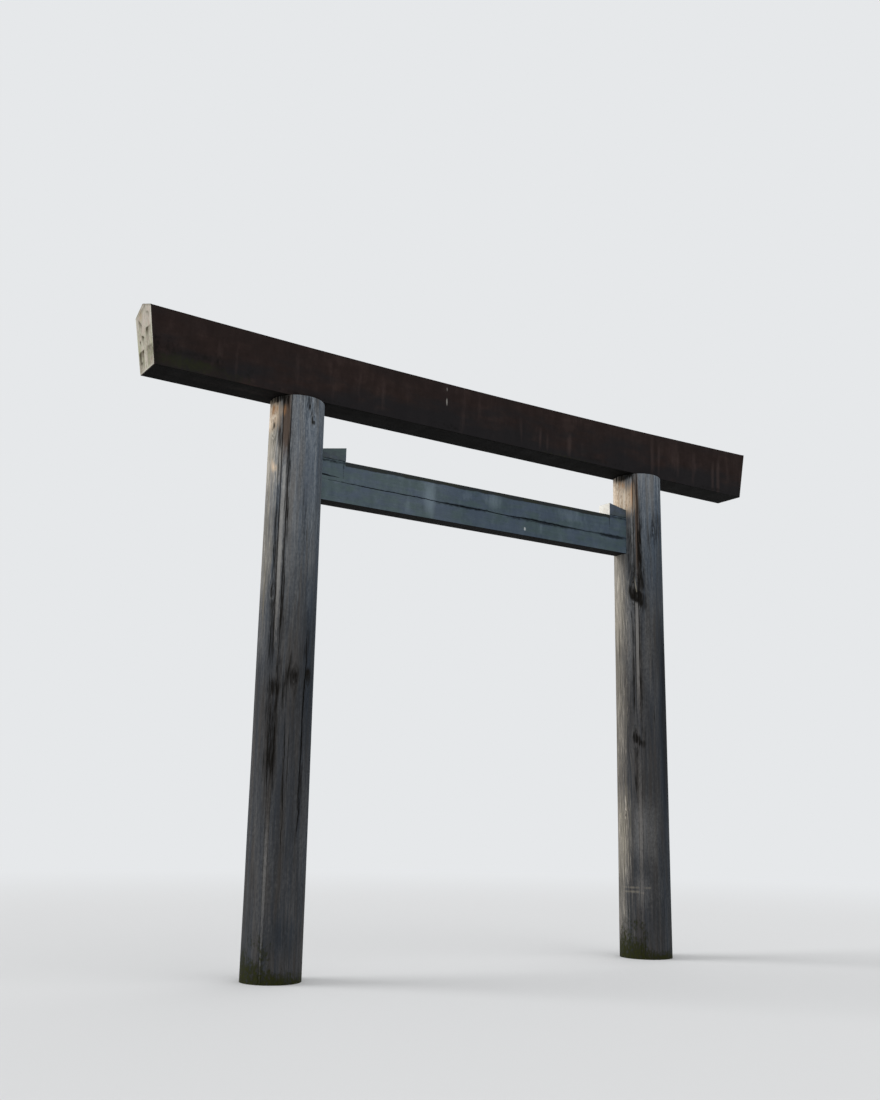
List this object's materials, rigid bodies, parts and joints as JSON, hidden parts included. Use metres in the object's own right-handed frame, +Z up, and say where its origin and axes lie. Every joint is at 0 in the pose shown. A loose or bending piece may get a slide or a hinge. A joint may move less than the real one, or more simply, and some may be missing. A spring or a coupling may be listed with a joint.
{
  "type": "timber torii gate",
  "caption": "Free-standing timber torii gate: round posts, a five-sided upswept top lintel and a wedged tie beam over a walk-through passage.",
  "frame": {"origin": "centre of the left post's flat foot, at ground level", "axes": "+X along the gate from the left post to the right post, +Y towards the back, +Z up"},
  "size_m": [9.5676, 0.7, 7.44],
  "materials": {
    "post_timber": "weathered bare timber, silver-grey",
    "filler_timber": "weathered bare timber, slightly paler",
    "beam_timber": "weathered bare timber, blue-grey",
    "wedge_timber": "weathered bare timber, dark side faces and pale end grain",
    "lintel_timber": "weathered bare timber, dark brown with pale end grain"
  },
  "bodies": {
    "root": {"left_post": "post_timber", "right_post": "post_timber", "left_kerf_filler": "filler_timber", "right_kerf_filler": "filler_timber", "tie_beam": "beam_timber", "left_wedge": "wedge_timber", "right_wedge": "wedge_timber", "top_lintel": "lintel_timber"}
  },
  "joints": []
}
